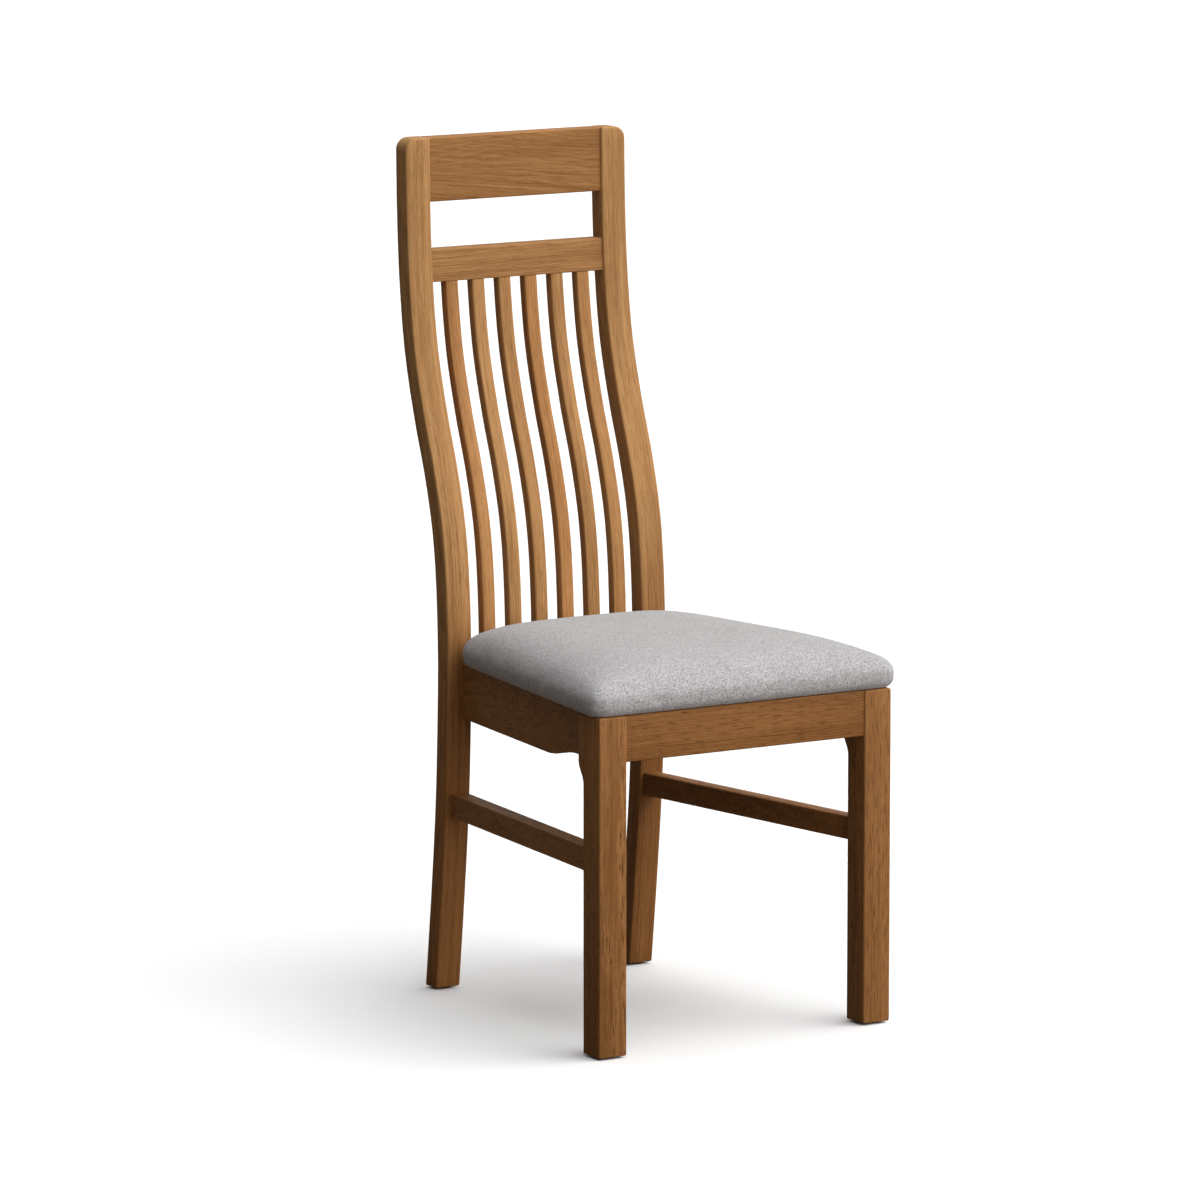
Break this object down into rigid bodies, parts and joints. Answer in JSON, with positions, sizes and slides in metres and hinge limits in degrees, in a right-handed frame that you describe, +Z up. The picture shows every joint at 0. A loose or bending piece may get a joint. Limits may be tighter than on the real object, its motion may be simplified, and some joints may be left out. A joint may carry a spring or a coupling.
{
  "type": "slat-back dining chair",
  "caption": "High-back dining chair: curved timber back with vertical slats and an open hand-hold under the crest rail, straight front legs, side stretchers and a crowned fabric seat pad.",
  "frame": {"origin": "middle of the bounding box, on the floor", "axes": "+Z up, the sitter faces -Y, +X towards the sitter's left hand"},
  "size_m": [0.4576, 0.5802, 1.1],
  "materials": {
    "timber": "mid-brown oiled oak, satin, straight open grain",
    "block_timber": "unfinished pale timber",
    "plywood": "unfinished plywood",
    "foam": "seat foam",
    "cover_fabric": "light grey woven melange upholstery",
    "dust_fabric": "black non-woven lining",
    "screw_steel": "zinc-plated",
    "glide_nylon": "brown nylon"
  },
  "bodies": {
    "root": {"rear_leg_left": "timber", "rear_leg_right": "timber", "front_leg_left": "timber", "front_leg_right": "timber", "crest_rail": "timber", "upper_back_rail": "timber", "back_slat_1": "timber", "back_slat_2": "timber", "back_slat_3": "timber", "back_slat_4": "timber", "back_slat_5": "timber", "back_slat_6": "timber", "rear_seat_rail": "timber", "front_seat_rail": "timber", "side_seat_rail_left": "timber", "side_seat_rail_right": "timber", "side_stretcher_left": "timber", "side_stretcher_right": "timber", "corner_block_front_left": "block_timber", "corner_block_front_right": "block_timber", "corner_block_rear_left": "block_timber", "corner_block_rear_right": "block_timber", "seat_board": "plywood", "seat_foam": "foam", "seat_cover": "cover_fabric", "seat_dust_cover": "dust_fabric", "screw_cross_front_left": "screw_steel", "screw_cross_front_right": "screw_steel", "screw_side_front_left": "screw_steel", "screw_side_front_right": "screw_steel", "screw_seat_front_left": "screw_steel", "screw_seat_front_right": "screw_steel", "screw_cross_rear_left": "screw_steel", "screw_cross_rear_right": "screw_steel", "screw_side_rear_left": "screw_steel", "screw_side_rear_right": "screw_steel", "screw_seat_rear_left": "screw_steel", "screw_seat_rear_right": "screw_steel", "foot_glide_front_left": "glide_nylon", "foot_glide_front_right": "glide_nylon", "foot_glide_rear_left": "glide_nylon", "foot_glide_rear_right": "glide_nylon"}
  },
  "joints": []
}
